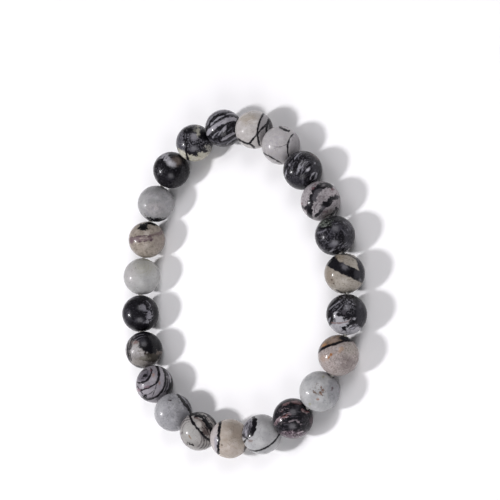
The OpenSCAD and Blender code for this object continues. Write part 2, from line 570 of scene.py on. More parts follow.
stoneLooks[7] = stone(
    "black_jasper", "#0f0e12", "#1a191d", 14,
    patch((80, 5), (46, 95), 18, 14, "#252429"),
    patch((30, -20), (22, 50), 30, 10, "#0c0b0f"),
    grain(3.6, 57, 6, "#333238", strength=0.8),
    grain(12, 60, 5, "#49484e", strength=0.6),
    grain(9, 56, 3, "#57565c", strength=0.7, within=area((-45, 0), (55, 85), 12, 20)),
    grain((3.5, 14), 55.5, 3, "#66656b", turn=-52, strength=0.7, within=area((60, 50), (34, 50), 12, 15)),
    grain((3.5, 14), 55, 3, "#6f6e74", turn=40, strength=0.8, within=area((45, -62), (50, 30), 12, 15)),
    # painted reflection of the upper soft box
    patch((6, 36), (22, 18), 30, 10, "#3b3a40", turn=20),
    # painted reflection of the lower soft box
    patch((-5, -40), (17, 15), 20, 9, "#57565c"),
    patch((-50, 62), (32, 16), 45, 6, "#424641", turn=20),
    grain((4, 8), 52, 3, "#111210", turn=20, within=area((-48, 62), (44, 26), 45, 10, turn=20)),
    grain(10, 59, 3, "#80867e", within=area((-50, 62), (36, 18), 45, 10, turn=20)),
    line(3, 16, "#676c66", (-70, 46), (-54, 46), (-38, 56)),
    line(4.4, 10, "#09080c", (-76, 34), (-46, 36), (-14, 40)),
    line(2, 10, "#605f65", (-94, 20), (-92, 36), (-84, 50)),
    line(2.8, 10, "#67666c", (-88, 16), (-68, 18), (-40, 32)),
    line(1.4, 12, "#67666c", (-16, 62), (-2, 58), (14, 66)),
    line(3, 6, "#a9a9a6", (-46, 88), (-38, 93), (-28, 96)),
    line(3, 14, "#85848a", (-28, -82), (-16, -74), (2, -68)),
    line(1.8, 10, "#605f65", (22, -94), (50, -84), (74, -60)),
    line(2.6, 16, "#57565c", (42, -52), (56, -62), (62, -74), soft=4),
    line(2, 10, "#49484e", (62, 72), (74, 56), (82, 34), soft=4),
    line(1.8, 7, "#737278", (-96, -28), (-84, -56), (-58, -74)),
)
stoneLooks[8] = stone(
    "tan_jasper", "#8d877e", "#9d968c", 8,
    patch((0, -50), (55, 30), 20, 20, "#a59f96", strength=0.7),
    patch((45, 42), (30, 16), 20, 12, "#a39e94", turn=-30, strength=0.7),
    patch((-30, 80), (24, 14), 20, 10, "#887d6c", strength=0.7),
    patch((-75, -20), (26, 40), 20, 14, "#81776b", strength=0.7),
    grain(12, 57, 5, "#6b6257", strength=0.5),
    line(25, 12, "#161519", (-100, 80), (-50, 46), (0, 20), (50, -3), (105, -28), taper=3),
    patch((-70, 70), (32, 20), 14, 3.5, "#121115", turn=30),
    patch((-2, 32), (24, 13), 24, 7, "#3f3e44", turn=-30),
    patch((30, 2), (22, 14), 20, 6, "#0e0d11", turn=-28),
    patch((102, 40), (39, 80), 8, 3.5, "#242328", turn=14),
    patch((70, -2), (24, 20), 20, 6, "#28272c"),
    patch((77, -32), (10, 6), 14, 5, "#59585c", turn=10),
    line(3, 8, "#353437", (-30, 96), (28, 88), (70, 56)),
    line(3, 10, "#1d1b1b", (-46, -80), (-28, -86), (-6, -94)),
    patch((-62, -30), (3.5, 3), 8, 3.5, "#5b5148"),
    patch((-52, -50), 3, 8, 3.5, "#5b5148"),
)
stoneLooks[9] = stone(
    "black_jasper", "#0c0b0f", "#17161a", 14,
    grain((1.6, 14), 60, 3, "#6b6a70", turn=50, within=area((-30, 62), (62, 30), 30, turn=45)),
    line(2.2, 6, "#7b7a80", (-86, 20), (-64, 42), (-34, 60)),
    patch((-35, 62), 4.5, 6, 3, "#7b7a80"),
    line(1.6, 10, "#57565c", (-28, 66), (-18, 78), (-8, 90)),
    line(1.6, 5, "#4f4e54", (-72, 58), (-60, 76), (-44, 90)),
    line(1.8, 12, "#5b5a60", (-58, 30), (-50, 36), (-38, 40)),
    line(1.6, 12, "#4f4e54", (-72, 10), (-64, 20), (-54, 26)),
    grain((8, 14), 55.5, 3, "#6b6a6f", turn=45, strength=0.7, within=area((5, 40), (40, 45), 12, 15)),
    # painted reflection of the upper soft box
    patch((2, 34), (17, 16), 36, 8, "#4b4a4f"),
    patch((-18, 12), (10, 8), 30, 7, "#3f3c41"),
    grain(9, 57, 4, "#86858b", strength=0.8, within=area((14, 46), (24, 30), 12, 8)),
    patch((-26, -66), (60, 32), 18, 3.5, "#9e9da1"),
    patch((-36, -24), (27, 17), 24, 3.5, "#9b9a9e", turn=-4),
    line(5.8, 12, "#9b9a9e", (-54, -12), (-56, 4), (-40, 13)),
    patch((32, -84), (44, 22), 16, 3.5, "#9d9ca0", turn=24),
    line(6.2, 16, "#8b8a90", (16, -72), (32, -58), (46, -44), taper=1),
    grain(5, 57, 6, "#8b8a90", strength=0.7, within=area((-10, -60), (70, 40))),
    grain((2.5, 13), 57, 3, "#38373c", turn=36, strength=0.85,
          within=area((14, -58), (50, 24), 30, 8, turn=30)),
    line(4.5, 14, "#1b1a1e", (-46, -3), (-36, -6), (-26, -4)),
    line(7, 22, black, (-6, -50), (-12, -66), (-6, -80), taper=1),
    line(7.5, 20, black, (-4, -62), (18, -46), (50, -32), taper=0.8),
    line(2, 14, "#1b1a1e", (10, -70), (24, -58), (36, -50)),
    line(1.2, 8, "#4f4e54", (28, -76), (38, -66), (46, -60)),
    line(3.6, 16, "#8f8e93", (-16, -30), (6, -30), (20, -16)),
    patch((40, -19), (7, 6), 26, 3.5, "#8f8e93"),
    line(5.8, 12, black, (-66, 2), (-70, -16), (-68, -34)),
    line(4.2, 12, "#85848a", (-86, -40), (-82, -26), (-76, -14)),
    line(3, 8, black, (-96, -30), (-90, -42), (-82, -50)),
    line(2.2, 5, "#6f5a58", (-76, -40), (-40, -42), (4, -33), soft=3, taper=2),
    line(1.6, 6, "#6f5a58", (0, -34), (10, -28), (18, -20)),
    patch((100, 12), (56, 86), 14, 4, "#242328"),
    patch((66, 42), (6, 10), 16, 7, "#3b3a3f"),
)
stoneLooks[10] = stone(
    "rose_jasper", "#928985", "#a09793", 11,
    patch((45, -38), (46, 40), 25, 25, "#7d7371", strength=0.8),
    patch((60, 34), (36, 26), 25, 20, "#9d978f", strength=0.7),
    patch((-60, -45), (36, 40), 25, 25, "#aba19e", strength=0.6),
    grain(14, 55.5, 5, "#6a5e5a", strength=0.55),
    grain(7, 60, 6, "#b1a8a4", strength=0.5),
    patch((-45, 98), (100, 56), 6, 5, "#77685a", turn=14),
    grain(7, 55, 6, "#92714f", strength=0.7, within=area((-50, 74), (52, 26), 12, 8, turn=24)),
    grain(10, 57, 3, "#453d37", strength=0.7, within=area((-40, 80), (70, 36), turn=14)),
    patch((-20, 73), (22, 10), 16, 8, "#948379", turn=16, strength=0.8),
    patch((-70, 48), (13, 9), 16, 7, "#a3774f", turn=40, strength=0.7),
    line(3, 10, "#4b4138", (-96, 30), (-70, 72), (-20, 98), soft=5),
    line(6, 7, black, (-105, 10), (-62, 40), (-14, 54), (22, 67), (98, 68), taper=3),
    # painted shadow of the neighbouring bead along the top right edge
    patch((52, 80), (46, 15), 10, 3.5, black, turn=-4),
    line(3.4, 16, "#8f6a47", (-48, -16), (-40, 0), (-30, 10), soft=3, taper=0.4),
    patch((-36, 4), (5.5, 5), 14, 4, "#85552d"),
    line(1.4, 10, "#8b6f5b", (-30, 8), (-12, 15), (6, 24)),
    patch((13, 32), (8, 15), 22, 8, "#9f8268", turn=-20, strength=0.7),
    patch((-72, -16), 16, 14, 12, "#a38a78", strength=0.5),
)
stoneLooks[11] = stone(
    "grey_jasper", "#98999a", "#a7a8a8", 4.5,
    grain(3, 56, 10, "#b1b1b2", strength=0.5),
    # painted shade: the right side darker, away from the key
    patch((78, 0), (42, 74), 16, 12, "#7e7e82", strength=0.75),
    # painted light: the left side lighter, towards the key
    patch((-85, 0), (35, 60), 20, 20, "#b3b3b3", strength=0.6),
    grain(15, 57, 3, "#73675f", strength=0.8, within=area((-6, 4), 34, 35, 10)),
    line(2, 22, "#6b5a50", (-35, 30), (-31, 20), (-26, 10), soft=2),
    line(1.4, 26, "#75625a", (5, 22), (11, 10), (12, 0), soft=2),
    line(1.8, 20, "#665a52", (-32, -6), (-22, -9), (-12, -16), soft=2),
    line(1, 26, "#7b675c", (-4, 4), (4, -10), (16, -22), soft=2),
    *[patch(at, size, 12, 2, "#5f4c42") for at, size in (
        ((-19, 15), (3.4, 3.2)), ((7, 17), (3.4, 3)), ((-14, -14), (2.8, 2.2)), ((17, -5), (2.2, 2.6)),
        ((-30, 4), (2.2, 2)), ((2, -2), (2.2, 2)), ((15, -19), (2, 2.8)),
    )],
    patch((-6, -38), (5, 3.2), 12, 3.5, "#79543f"),
    patch((62, 17), (6, 12), 12, 3, "#54494d"),
    line(2.2, 10, "#747478", (58, -10), (68, -24), (66, -40), soft=5),
    patch((-48, -61), (6, 5), 8, 5, "#8f9075"),
    patch((19, 72), (7, 5), 8, 5, "#8b8b74"),
)
stoneLooks[12] = stone(
    "banded_jasper", "#0e0d11", "#19181c", 16,
    grain(5, 56, 6, "#2e2c31", strength=0.8),
    grain((2.2, 11), 59, 4, "#47444a", turn=8, strength=0.8),
    line(6.6, 30, "#6b5657", (-48, 66), (-5, 80), (47, 74), taper=0.5),
    line(1.8, 8, "#462c2e", (-10, 70), (10, 72), (26, 70)),
    line(1.4, 8, "#7f6c6e", (-20, 82), (6, 84), (30, 80)),
    line(1.6, 8, "#3b3539", (-34, 92), (2, 97), (34, 90)),
    line(5, 20, "#6b5657", (36, 50), (58, 34), (82, 32)),
    line(2.6, 12, "#4c2b2d", (60, 36), (72, 34), (84, 36)),
    line(1.4, 8, "#8f8182", (46, 36), (60, 28), (74, 26)),
    grain(9, 54, 3, "#857a7c", within=area((-50, 40), (24, 9), 12, 5, turn=10)),
    patch((-54, 33), (6, 3), 14, 4, "#4c2b2d"),
    line(6, 20, "#746368", (-93, -36), (-60, -2), (-6, 24), taper=0.8),
    line(2.6, 12, "#613b34", (-60, 2), (-42, 11), (-22, 18)),
    line(1.2, 8, "#8f8286", (-86, -18), (-58, 12), (-12, 29)),
    line(1.4, 8, "#978688", (-62, -14), (-40, 0), (-20, 10)),
    grain(9, 58, 3, nearBlack, within=area((-45, 0), (50, 14), 12, 5, turn=38)),
    line(0.6, 34, "#625b5f", (-22, -24), (-6, -13), (2, -13), soft=2),
    line(0.6, 40, "#6b6468", (16, -12), (24, -16), (36, -26), soft=2),
    patch((-8, -14), (4.5, 2), 16, 2.5, "#787074", turn=14),
    patch((28, -17), (4.5, 2.6), 20, 2.5, "#7b7377", turn=-30),
    line(2.2, 12, "#5b5356", (-60, -28), (-40, -22), (-20, -26), soft=4),
    # painted reflection of the lower soft box
    patch((-3, -38), (18, 14), 20, 9, "#3f3d42"),
    # painted reflection of the upper soft box
    patch((4, 34), (19, 15), 20, 9, "#3b393e"),
    patch((4, -102), (90, 40), 20, 5, "#665860"),
    grain(10, 51, 3, "#2b2027", strength=0.85, within=area((2, -95), (90, 40), 12, 8)),
    grain(8, 58, 3, "#a3989c", strength=0.8, within=area((10, -92), (80, 34), 12, 8)),
    line(1.8, 10, "#a3989c", (22, -74), (36, -66), (52, -64)),
    patch((93, -15), (10, 20), 14, 8, "#52454a"),
)
stoneLooks[13] = stone(
    "grey_jasper", "#a1a1a2", "#adadad", 4.5,
    patch((30, 70), (50, 25), 20, 20, "#999798", strength=0.6),
    patch((-84, 36), (40, 56), 6, 5, "#7f7d83", turn=-12),
    grain((2.2, 10), 54, 5, "#39373c", turn=72, within=area((-80, 36), (32, 48))),
    grain((2, 9), 60, 5, "#a5a3a9", turn=72, within=area((-80, 30), (30, 44))),
    line(5, 14, nearBlack, (-80, 80), (-98, 45), (-95, 10)),
    line(12, 14, black, (-42, 98), (-37, 42), (-68, -20), taper=0.7),
    line(4.5, 8, nearBlack, (-104, 6), (-84, -14), (-62, -26)),
    line(4.2, 8, nearBlack, (-97, -50), (-80, -28), (-67, -6)),
    patch((-58, -32), (9, 7), 16, 5, "#6d554e"),
    line(4.6, 6, black, (-100, -42), (-64, -76), (-20, -80), (35, -57), (97, 20), taper=3),
)
stoneLooks[14] = stone(
    "tan_jasper", "#a2988d", "#b1a89f", 5,
    patch((45, 45), (45, 50), 20, 25, "#92867a", strength=0.7),
    patch((0, -55), (50, 30), 20, 20, "#b5aba3", strength=0.6),
    grain(5, 57, 7, "#9f9286", strength=0.6),
    patch((-115, 5), (64, 130), 4, 5, "#b5aeac"),
    patch((-68, -25), (9, 42), 10, 6, "#8b8a94", strength=0.8),
    line(7, 10, black, (-46, 100), (-50, 60), (-55, 20), (-55.5, -20), (-58, -80), taper=1.2),
    patch((-42, -30), (5, 4), 12, 5, "#45392f"),
    line(5, 18, nearBlack, (76, 60), (90, 5), (70, -72), taper=0.5),
    patch((110, -5), (24, 70), 10, 5, "#8b888e"),
    grain((2, 9), 52, 3, "#3d3939", turn=88, within=area((88, -10), (18, 60), 12, 5)),
)
stoneLooks[15] = stone(
    "banded_jasper", "#908d8a", "#9c9996", 6,
    patch((-45, -5), (44, 50), 15, 20, "#a1a09d", strength=0.7),
    patch((36, 14), (62, 26), 18, 7, "#746d6a", turn=-50),
    patch((34, -8), (24, 14), 24, 7, "#544a48", turn=-50),
    patch((-4, 62), (19, 7), 14, 5, "#6b5a56", turn=-30),
    patch((2, 36), (12, 18), 14, 3.5, "#a7a29d", turn=25),
    line(2.4, 12, "#2b2829", (20, 34), (40, 8), (54, -26)),
    line(1.6, 8, "#453f3f", (12, 24), (30, 0), (42, -26)),
    line(10, 22, "#121115", (-42, 86), (6, 74), (38, 42), (60, 10), (76, -30), taper=1),
    line(5.5, 16, "#8b8582", (34, 80), (63, 50), (86, 6), taper=0.8),
    patch((6, 80), (30, 9), 26, 3.5, black, turn=-14),
    line(2, 10, "#2b292c", (30, 78), (58, 44), (80, 4)),
    line(1.4, 6, "#3b383a", (42, 78), (70, 46), (90, 12)),
    line(5.2, 6, black, (-52, 72), (-6, 98), (44, 84), (80, 46), (100, 6)),
    line(6.6, 9, black, (-52, 98), (-36, 52), (-2, 7), (26, -24), (72, -58), taper=2),
    line(2.4, 5, "#5b5657", (4, -10), (14, -42), (-12, -84), soft=3.5),
    line(3, 6, "#454142", (20, -26), (26, -52), (4, -90), soft=3.5),
    line(3, 5, "#4b4748", (36, -36), (40, -58), (20, -90), soft=3.5),
    line(2.4, 5, "#454142", (50, -46), (52, -62), (38, -86), soft=3.5),
    line(2, 5, "#4b4748", (66, -54), (66, -66), (56, -80)),
    line(2.6, 6, "#5b5657", (-96, 8), (-82, 46), (-44, 60)),
    line(2.4, 6, "#635e5f", (-98, 22), (-84, 58), (-48, 72)),
    line(1.6, 5, "#726d6e", (-88, 6), (-74, 36), (-46, 48)),
    line(2.2, 8, "#5d5058", (-98, -10), (-88, -44), (-62, -76), soft=4),
    patch((-36, -69), (16, 8), 24, 3.5, "#1b1718", turn=-18),
    line(2, 8, "#82705f", (-52, -18), (-46, -30), (-38, -42)),
    patch((-89, -8), (5, 7), 10, 5, "#423538"),
)
stoneLooks[16] = stone(
    "grey_jasper", "#8a8a8d", "#98989b", 8,
    grain(4, 56, 8, "#a4a4a6", strength=0.5),
    grain(8, 58, 6, "#747477", strength=0.6),
    # painted light: the left side lighter, towards the key
    patch((-80, 10), (34, 60), 20, 18, "#a7a7a9", strength=0.6),
    # painted shade: the lower right darker, away from the key
    patch((60, -30), (30, 40), 20, 20, "#79797d", strength=0.7),
    patch((-16, 62), (8, 4), 8, 3, "#2e2228"),
    patch((110, 62), 66, 6, 5, "#706f74"),
    line(7.8, 14, black, (20, 100), (58, 50), (97, -8), taper=1.2),
    line(3, 8, "#29282c", (50, 88), (76, 58), (94, 24)),
)
stoneLooks[17] = stone(
    "rose_jasper", "#7f7b80", "#918d92", 7,
    patch((-55, -35), (35, 25), 15, 15, "#9c989d", strength=0.7),
    patch((30, 10), (16, 60), 15, 12, "#97939a", strength=0.7),
    patch((94, -30), (40, 64), 14, 10, "#1f1e22"),
    line(3, 6, "#a09ea3", (50, 86), (78, 50), (84, 6)),
    patch((-56, 46), (38, 28), 6, 5, "#67636a", turn=38),
    line(5.4, 7, "#121115", (-20, 88), (-27, 36), (-94, 8), taper=2),
    line(3.4, 7, "#29272b", (-86, 50), (-64, 72), (-34, 76)),
    line(2, 6, "#3b383d", (-92, 32), (-86, 48), (-74, 62)),
    line(2, 6, "#47444a", (-38, 70), (-40, 44), (-66, 26)),
    patch((-53, 43), (19, 8.5), 12, 3.5, black, turn=40),
    line(6.6, 8, black, (8, 100), (23, 50), (10, 2), taper=2),
    line(5, 8, "#17161a", (14, 6), (-18, -11), (-74, -34), taper=2),
    line(2.6, 6, "#2e2b30", (10, 0), (2, -28), (-12, -66)),
    line(5.6, 7, black, (36, 96), (58, 34), (46, -24), (14, -62), (-50, -82), taper=2),
    line(3, 7, "#2b292e", (52, 78), (70, 24), (50, -44), soft=3),
    line(2.4, 6, "#3b393e", (36, 96), (62, 70), (76, 28)),
    line(5, 10, "#17161a", (56, 90), (86, 52), (95, 10)),
    line(4.6, 10, "#17161a", (90, 16), (84, -20), (56, -66)),
    line(1.8, 6, "#747177", (74, 20), (72, -10), (54, -44)),
    line(3, 8, "#2e2b30", (-92, -10), (-70, -42), (-50, -60), taper=2),
    line(2.2, 5, "#3b383d", (-66, -56), (-25, -50), (-4, -28)),
    line(2, 5, "#454247", (-42, -72), (-12, -70), (6, -54)),
    patch((-54, -66), (12, 13), 20, 3.5, black),
    patch((-21, 72), (4, 7), 8, 3.5, "#61424a"),
    patch((-8, 48), (7, 9), 8, 6, "#937d78"),
    patch((26, 6), (6, 8), 8, 5, "#86706b"),
    patch((-40, -12), (12, 5), 10, 5, "#75646c", turn=20),
    patch((-86, -32), (9, 7), 8, 5, "#87727a"),
)
stoneLooks[18] = stone(
    "banded_jasper", "#868381", "#959190", 7,
    patch((-45, 5), (26, 30), 15, 12, "#a5a3a3", strength=0.8),
    patch((-10, -70), (50, 30), 20, 20, "#847f79", strength=0.7),
    grain(7, 58, 5, "#716b64", strength=0.6),
    patch((50, -34), (56, 34), 30, 8, "#3b3731"),
    patch((6, -40), (20, 12), 30, 8, "#625e56"),
    patch((-14, 86), (72, 44), 24, 3.5, "#17161a"),
    rings((10, -30), 13, 34, 45, 8, "#5f5e64", within=area((-28, 70), (42, 22))),
    patch((42, 30), (68, 50), 20, 5, "#0e0d11", turn=-8),
    patch((60, 62), (40, 34), 16, 5, "#121115"),
    # painted reflection: a grey spot in the black
    patch((-5, 46), 20, 20, 10, "#333237"),
    line(5.8, 6, nearBlack, (-64, 100), (-88, 20), (-62, -92), taper=2),
    line(3, 10, "#232226", (-48, 94), (-76, 20), (-66, -60)),
    line(2.4, 8, "#3b3939", (-36, 80), (-62, 44), (-70, 0)),
    line(3, 8, "#8f8b8a", (-99, 10), (-93, 50), (-72, 82)),
    patch((-47, 38), (13, 8), 24, 6, "#7f6e6b"),
    patch((-10, -14), (8, 5), 16, 5, "#a5a29f"),
    patch((8, -18), (7, 5), 14, 3.5, "#2b1f1f"),
    line(4.5, 16, nearBlack, (94, 0), (86, -24), (70, -48)),
    patch((80, -14), (14, 10), 30, 3.5, "#59504a"),
    line(6, 14, nearBlack, (-64, -76), (-35, -90), (-4, -98)),
)
stoneLooks[19] = stone(
    "black_jasper", "#0f0e12", "#19181c", 12,
    # painted reflection: a light rim on the left edge, from the floor and neighbouring beads
    line(4, 10, "#515056", (-98, -10), (-80, 58), (-10, 93), soft=5),
    patch((90, -20), (40, 80), 15, 12, "#18171b"),
    # painted reflection: a soft grey cloud on the left, near the highlight
    patch((-76, -14), (20, 44), 20, 15, "#2d2c31"),
    grain(11, 61, 5, "#38373d", strength=0.6),
    # partly specks in the stone, partly painted sheen round the key's highlight
    grain(8, 57, 3, "#4d4c52", strength=0.6, within=area((-70, 0), (20, 30), 12, 12)),
    patch((12, 30), (16, 22), 26, 5, "#55545a", turn=18),
    patch((20, 36), (7, 12), 16, 5, "#7d7c82", turn=18),
    line(2.6, 10, "#68676d", (30, 72), (44, 58), (54, 40)),
    patch((46, -14), (16, 30), 34, 3.5, "#7f7e84", turn=-14),
    line(3.6, 16, "#7f7e84", (22, -42), (36, -42), (46, -54)),
    grain(9, 53, 3, black, strength=0.95, within=area((38, -4), (26, 44), 12, 5)),
    line(4.5, 20, "#0c0b0f", (20, 12), (28, -8), (24, -34)),
    # painted reflection of the lower soft box
    patch((-4, -36), (22, 11), 22, 9, "#434248"),
    # painted reflection: a light rim on the lower left edge
    line(3, 10, "#55545a", (-92, -26), (-78, -60), (-40, -88), soft=5),
    grain(8, 55, 3, "#6b6a70", strength=0.8, within=area((28, 20), (20, 42), 12, 6, turn=10)),
)
stoneLooks[20] = stone(
    "grey_jasper", "#a0a09f", "#ababa9", 3.5,
    patch((10, 50), (50, 30), 30, 25, "#a3a297", strength=0.6),
    rings((-5, 60), 20, 50, 70, 25, "#9e9d92", strength=0.6, within=area((5, 50), (60, 40), 12, 25)),
    # painted light: the left side lighter, towards the key
    patch((-60, 10), (30, 50), 20, 20, "#b1adad", strength=0.5),
    grain(6, 60, 6, "#9a9993", strength=0.4),
    patch((34, 94), (26, 7), 14, 5, "#6f6e4f", turn=-8, strength=0.7),
)
stoneLooks[21] = stone(
    "tan_jasper", "#8e867c", "#9f968c", 7,
    patch((75, 0), (40, 60), 20, 20, "#857b75", strength=0.6),
    grain(6, 57, 7, "#7c7267", strength=0.7),
    grain(12, 60, 5, "#6b6058", strength=0.5),
    line(11.5, 20, "#716365", (-100, -4), (-35, 6), (34, 6), soft=5, taper=1),
    line(8.2, 20, "#6b5d5c", (0, 12), (40, 28), (95, 46), soft=6, taper=1),
    line(3.6, 10, "#968a85", (-42, 6), (-10, 8), (10, 6)),
    line(2.8, 12, "#57484c", (-82, 12), (-25, 20), (22, 20)),
    line(2.8, 12, "#57484c", (-58, -12), (-15, -8), (30, 0)),
    patch((-86, -10), (10, 14), 16, 5, "#6b5a5e"),
    patch((-20, 70), (24, 18), 30, 3.5, "#0f0e10"),
    line(5, 18, "#0f0e10", (-52, 60), (-30, 68), (-6, 86)),
    line(7, 18, "#141315", (-16, 88), (20, 88), (66, 76)),
)
stoneLooks[22] = stone(
    "grey_jasper", "#898989", "#969596", 5,
    patch((-5, -28), (45, 25), 20, 20, "#a39e9d", strength=0.6),
    grain(4, 57, 8, "#828186", strength=0.6),
    # painted light: the left side lighter, towards the key
    patch((-80, 10), (30, 60), 20, 18, "#a2a2a2", strength=0.6),
    patch((2, -104), (72, 28), 34, 3.5, black),
    line(4.5, 30, black, (-62, -62), (0, -86), (62, -78), taper=0.8),
    # painted reflection of the white floor: a bright rim at the lower right
    line(1.4, 4, "#b9b8bb", (58, -78), (76, -62), (88, -36)),
)
stoneLooks[23] = stone(
    "black_jasper", "#0e0d11", "#161519", 12,
    grain(9, 60, 5, "#37363b", strength=0.6),
    patch((-34, 74), (26, 15), 28, 6, "#939297", turn=-14),
    grain((1.8, 11), 54, 3, black, turn=58, within=area((-58, 66), (22, 20), 12, 5)),
    line(2.2, 8, "#77767b", (-70, 58), (-50, 78), (-20, 92), soft=5),
    patch((26, 46), (28, 26), 20, 12, "#59504c"),
    # partly a grey cloud in the stone, partly a painted reflection of the upper soft box
    patch((-6, 40), (22, 13), 12, 14, "#a9a8ad", turn=-42),
    patch((6, 28), (14, 9), 16, 12, "#9b9a9f", turn=-20, strength=0.8),
    # painted reflection of the lower soft box
    patch((-5, -36), (20, 18), 16, 12, "#28272c"),
    # partly dust specks, partly painted sheen round the key's highlight
    grain(12, 56, 5, "#5b5a60", strength=0.7, within=area((-64, -2), (26, 30), 12, 12)),
)


# every stone's polish: a broad gloss under a thin clear one, a little uneven
polish = {
    "heights": (0.3, 0.7),      # of its noise, from the smoothest to the roughest
    "roughness": (0.22, 0.34),
    "index": 1.54,
    "gloss": 0.10,              # share of the usual reflection below the clear one
    "clear": 0.15,
    "clearRoughness": 0.08,
    "pitStrength": 0.25,
    "pitDepth": 0.00002,        # metres
}


def newMaterial(name):
    material = bpy.data.materials.new(name)
    material.use_nodes = True
    tree = material.node_tree
    tree.nodes.clear()
    return material, tree, put(tree, "ShaderNodeTexCoord").outputs["Object"]


def closeMaterial(tree, values):
    shader = put(tree, "ShaderNodeBsdfPrincipled", values)
    put(tree, "ShaderNodeOutputMaterial", {"Surface": shader.outputs[0]})


def stoneMaterial(name, look, centre, radius, number):
    material, tree, coordinates = newMaterial(name)
    turn = facing((eye - centre).normalized()).to_euler()
    values = {"Vector": coordinates, "Location": centre, "Rotation": turn, "Scale": (radius,) * 3}
    point = put(tree, "ShaderNodeMapping", values, vector_type="TEXTURE").outputs[0]
    place = {"Point": point, "Seed": tuple(step * number for step in stoneBody["seed"])}
    least, step, steps = stoneBody["twist"]
    space = useGroup(tree, "space", place, {"Twist": least + step * (number % steps)})
    place.update({"Flat": space["Flat"], "Rough": space["Rough"]})
    moved = vectors(tree, "ADD", point, place["Seed"])
    share = smoothStep(tree, noise(tree, moved, *stoneNoise["ground"]), *stoneBody["ground"])
    shade = mixColour(tree, share, *(linear(code) for code in look["ground"]))
    for mark in look["marks"]:
        shade = mixColour(tree, markMask(tree, place, mark), shade, linear(mark["colour"]))
    shade = scaled(tree, shade, useGroup(tree, "grit", place, {"Grit": look["grit"]})["Factor"])
    values = dict(zip(("From Min", "From Max", "To Min", "To Max"), polish["heights"] + polish["roughness"]))
    values["Value"] = noise(tree, moved, *stoneNoise["polish"])
    roughness = put(tree, "ShaderNodeMapRange", values)
    pits = put(tree, "ShaderNodeBump", {
        "Height": noise(tree, moved, *stoneNoise["pits"]),
        "Strength": polish["pitStrength"], "Distance": polish["pitDepth"],
    })
    closeMaterial(tree, {
        "Base Color": shade, "Roughness": roughness.outputs[0], "IOR": polish["index"],
        "Specular IOR Level": polish["gloss"], "Coat Weight": polish["clear"],
        "Coat Roughness": polish["clearRoughness"], "Normal": pits.outputs[0],
    })
    return material


# one drilled bead, spun round its hole, which runs along Z, in metres
beadShape = {
    "radius": 0.004,
    "holeRadius": 0.0005,
    "bevel": 0.00015,
    "rimRounding": 0.00003,
    "mouthInset": 0.0001,   # the mouths' corners are at least this far inside the ball
    "arcSteps": 36,         # along the outline, from mouth to mouth
    "turnSteps": 64,        # round the hole
    "merge": 1e-7,
    "tolerance": 1e-6,
}


def smoothFaces(bm):
    bmesh.ops.recalc_face_normals(bm, faces=bm.faces)
    for face in bm.faces:
        face.smooth = True


def makeBeadMesh(shape):
    radius, hole, bevel = shape["radius"], shape["holeRadius"], shape["bevel"]
    mouth = math.sqrt(radius ** 2 - (hole + bevel) ** 2)
    wall = mouth - bevel
    first = math.asin((hole + bevel) / radius)
    outline = [Vector((hole, 0, 0)), Vector((hole, 0, wall))]
    for step in range(shape["arcSteps"] + 1):
        angle = first + (math.pi - 2 * first) * step / shape["arcSteps"]
        outline.append(Vector((radius * math.sin(angle), 0, radius * math.cos(angle))))
    outline.append(Vector((hole, 0, -wall)))
    bm = bmesh.new()
    corners = [bm.verts.new(co) for co in outline]
    edges = [bm.edges.new(pair) for pair in zip(corners, corners[1:] + corners[:1])]
    bmesh.ops.spin(bm, geom=corners + edges, cent=(0, 0, 0), axis=zAxis, angle=2 * math.pi,
                   steps=shape["turnSteps"], use_merge=True, use_duplicate=False)
    bmesh.ops.remove_doubles(bm, verts=bm.verts, dist=shape["merge"])
    rims = [edge for edge in bm.edges if isRim(edge, hole, wall) or isRim(edge, hole + bevel, mouth)]
    bmesh.ops.bevel(bm, geom=rims, offset=shape["rimRounding"], offset_type="OFFSET", segments=2, profile=0.5,
                    affect="EDGES", material=-1)
    smoothFaces(bm)
    return newMesh("beadPattern", bm)


def isRim(edge, radius, height):
    near = beadShape["tolerance"]
    return all(
        abs(math.hypot(v.co.x, v.co.y) - radius) < near and abs(abs(v.co.z) - height) < near
        for v in edge.verts
    )


# the frame's own bead gives the place: the corners at its hole's two ends lie inside the ball
def holeOf(node):
    low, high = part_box(node)
    middle = (low + high) / 2
    corners = [v.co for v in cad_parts[node].data.vertices]
    inner = [co for co in corners if (co - middle).length < beadShape["radius"] - beadShape["mouthInset"]]
    ends = []
    for sign in (1, -1):
        mouth = [co for co in inner if (co - middle).dot(inner[0] - middle) * sign > 0]
        mouth = {tuple(round(value, 7) for value in co): co for co in mouth}.values()
        ends.append(sum(mouth, Vector()) / len(mouth))
    return (ends[0] + ends[1]) / 2, (ends[0] - ends[1]).normalized()


def makeBeads():
    names = sorted(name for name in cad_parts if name.startswith("bead_"))
    places = [holeOf(name) for name in names]
    pattern = makeBeadMesh(beadShape)
    beads = []
    for number, (name, (centre, along)) in enumerate(zip(names, places), start=1):
        onward = places[number % len(places)][0] - centre
        along = along if along.dot(onward) > 0 else -along
        bead = newObject("stone_" + name, pattern.copy())
        turn = zAxis.rotation_difference(along).to_matrix().to_4x4()
        bead.data.transform(Matrix.Translation(centre) @ turn)
        look = stoneLooks[number]
        bead.data.materials.append(stoneMaterial("stone_" + name, look, centre, beadShape["radius"], number))
        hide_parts(name)
        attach(bead, "root")
        beads.append({"centre": centre, "along": along})
    bpy.data.meshes.remove(pattern)
    return beads


beads = makeBeads()
print("beads ready:", len(beads))


# the stretch cord: straight through each bead, with a short bend in each gap, in metres
cordShape = {
    "radius": 0.0004,
    "straight": 0.0036,     # from a bead's centre to where the bend begins
    "sides": 12,
    "bendSteps": 3,
    "colours": ("#d9d6cd", "#ebe9e2"),
    "roughness": 0.3,
    "index": 1.48,
    "clear": 0.55,
    "milk": (0.35, 0.65),   # heights of its noise between which the two colours mix
    "milkScale": 900.0,
    "gripScale": 5000.0,
    "gripStrength": 0.2,
    "gripDepth": 0.00002,
}


